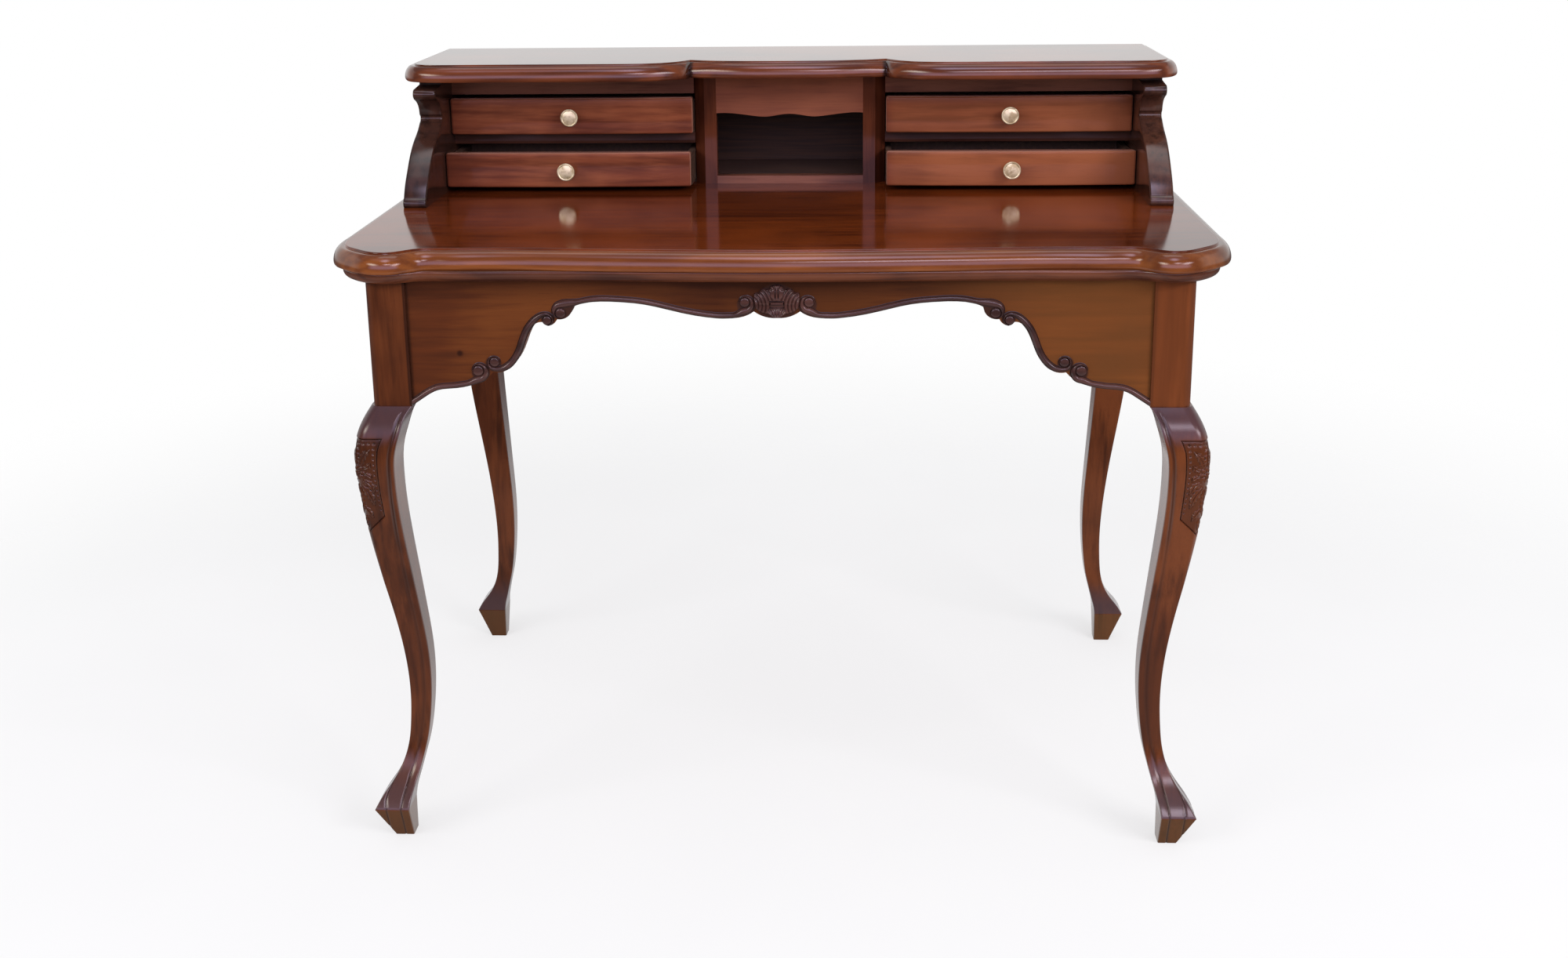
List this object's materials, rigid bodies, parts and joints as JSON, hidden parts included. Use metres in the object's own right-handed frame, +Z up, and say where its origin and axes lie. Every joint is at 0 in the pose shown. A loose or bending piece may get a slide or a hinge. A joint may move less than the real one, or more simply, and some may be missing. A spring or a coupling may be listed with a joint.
{
  "type": "bonheur du jour",
  "caption": "Small wooden writing desk on cabriole legs, arched apron with carved shell, and a raised back with drawers either side of a pigeonhole.",
  "frame": {"origin": "middle of the desk's footprint, on the floor", "axes": "+X to the right of someone sitting at the desk, +Y towards its back, +Z up"},
  "size_m": [1.0755, 0.6751, 0.943],
  "materials": {
    "leg_wood": "dark brown stained hardwood, glossy varnish",
    "frame_wood": "red-brown stained hardwood, glossy varnish",
    "carved_trim": "carved hardwood, dark in the hollows, glossy varnish",
    "polished_top": "red-brown stained hardwood, high polish",
    "dark_scroll_wood": "very dark stained hardwood, glossy varnish",
    "drawer_face": "red-brown stained hardwood, glossy varnish",
    "drawer_lining": "plain stained secondary wood, matt",
    "inner_wood": "dark stained secondary wood, matt",
    "aged_brass": "pale aged brass, satin",
    "screw_steel": "plain steel"
  },
  "bodies": {
    "desk": {"leg_front_left": "leg_wood", "leg_front_right": "leg_wood", "leg_rear_left": "leg_wood", "leg_rear_right": "leg_wood", "apron_front": "frame_wood", "apron_rear": "frame_wood", "apron_left": "frame_wood", "apron_right": "frame_wood", "bead_left": "carved_trim", "bead_right": "carved_trim", "apron_shell": "carved_trim", "moulding_front": "frame_wood", "moulding_left": "frame_wood", "moulding_right": "frame_wood", "writing_top": "polished_top", "glue_blocks": "inner_wood", "top_screws": "screw_steel", "end_panel_left": "dark_scroll_wood", "end_panel_right": "dark_scroll_wood", "hutch_base": "inner_wood", "hutch_back": "inner_wood", "hutch_top": "polished_top", "partition_left": "frame_wood", "partition_right": "frame_wood", "drawer_shelf_left": "frame_wood", "drawer_shelf_right": "frame_wood", "cornice_rail_left": "frame_wood", "cornice_rail_right": "frame_wood", "stile_left": "frame_wood", "stile_right": "frame_wood", "pigeonhole_valance": "frame_wood", "pigeonhole_sill": "frame_wood", "pigeonhole_floor": "inner_wood", "hutch_screws": "screw_steel"},
    "drawer_ul": {"drawer_ul_front": "drawer_face", "drawer_ul_left_side": "drawer_lining", "drawer_ul_right_side": "drawer_lining", "drawer_ul_back": "drawer_lining", "drawer_ul_bottom": "drawer_lining", "drawer_ul_knob": "aged_brass"},
    "drawer_ur": {"drawer_ur_front": "drawer_face", "drawer_ur_left_side": "drawer_lining", "drawer_ur_right_side": "drawer_lining", "drawer_ur_back": "drawer_lining", "drawer_ur_bottom": "drawer_lining", "drawer_ur_knob": "aged_brass"},
    "drawer_ll": {"drawer_ll_front": "drawer_face", "drawer_ll_left_side": "drawer_lining", "drawer_ll_right_side": "drawer_lining", "drawer_ll_back": "drawer_lining", "drawer_ll_bottom": "drawer_lining", "drawer_ll_knob": "aged_brass"},
    "drawer_lr": {"drawer_lr_front": "drawer_face", "drawer_lr_left_side": "drawer_lining", "drawer_lr_right_side": "drawer_lining", "drawer_lr_back": "drawer_lining", "drawer_lr_bottom": "drawer_lining", "drawer_lr_knob": "aged_brass"}
  },
  "joints": [
    {"name": "drawer_ul_slide", "type": "slide", "parent": "desk", "child": "drawer_ul", "axis": [0, -1, 0], "range_m": [-0.02, 0.08]},
    {"name": "drawer_ur_slide", "type": "slide", "parent": "desk", "child": "drawer_ur", "axis": [0, -1, 0], "range_m": [-0.02, 0.08]},
    {"name": "drawer_ll_slide", "type": "slide", "parent": "desk", "child": "drawer_ll", "axis": [0, -1, 0], "range_m": [-0.066, 0.034]},
    {"name": "drawer_lr_slide", "type": "slide", "parent": "desk", "child": "drawer_lr", "axis": [0, -1, 0], "range_m": [-0.066, 0.034]}
  ]
}
